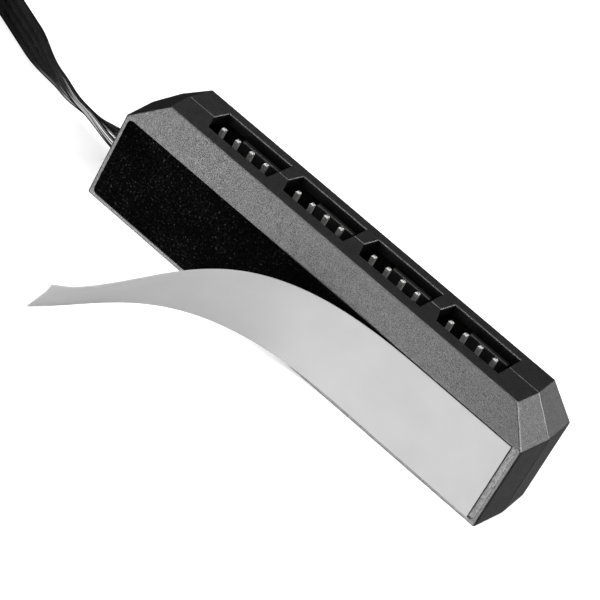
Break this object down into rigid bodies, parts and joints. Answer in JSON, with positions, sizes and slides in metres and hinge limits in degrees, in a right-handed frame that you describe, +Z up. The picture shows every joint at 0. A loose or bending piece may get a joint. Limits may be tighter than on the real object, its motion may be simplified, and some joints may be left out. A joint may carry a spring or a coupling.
{
  "type": "pc fan controller hub",
  "caption": "Slim bevelled plastic hub with a row of keyed pin sockets, a foam adhesive pad with a half-peeled liner, and a flat ribbon lead with a plug for feeding computer fans.",
  "frame": {"origin": "middle of the case's bottom face, on the parting plane between the two shells", "axes": "+X along the case, away from the lead; +Z up, the way the sockets open; -Y out of the adhesive pad"},
  "size_m": [0.1536, 0.0584, 0.018],
  "materials": {
    "case_plastic": "fine grain",
    "connector_plastic": "satin",
    "foam": "open foam",
    "liner": "coated release paper",
    "board": "solder mask",
    "cable": "smooth insulation",
    "tie": "satin",
    "pin": "tin plated",
    "terminal": "tin plated"
  },
  "bodies": {
    "root": {"cable_coil": "cable", "cable_entry": "cable", "cable_lead": "cable", "cable_tail": "cable", "circuit_board": "board", "coil_tie": "tie", "fan_header_1": "connector_plastic", "fan_header_2": "connector_plastic", "fan_header_3": "connector_plastic", "fan_header_4": "connector_plastic", "foam_tape": "foam", "front_shell": "case_plastic", "header_1_pin_1": "pin", "header_1_pin_2": "pin", "header_1_pin_3": "pin", "header_1_pin_4": "pin", "header_2_pin_1": "pin", "header_2_pin_2": "pin", "header_2_pin_3": "pin", "header_2_pin_4": "pin", "header_3_pin_1": "pin", "header_3_pin_2": "pin", "header_3_pin_3": "pin", "header_3_pin_4": "pin", "header_4_pin_1": "pin", "header_4_pin_2": "pin", "header_4_pin_3": "pin", "header_4_pin_4": "pin", "inner_wire_1": "cable", "inner_wire_2": "cable", "inner_wire_3": "cable", "inner_wire_4": "cable", "plug_housing": "connector_plastic", "plug_terminal_1": "terminal", "plug_terminal_2": "terminal", "plug_terminal_3": "terminal", "plug_terminal_4": "terminal", "rear_shell": "case_plastic", "release_liner": "liner"}
  },
  "joints": []
}
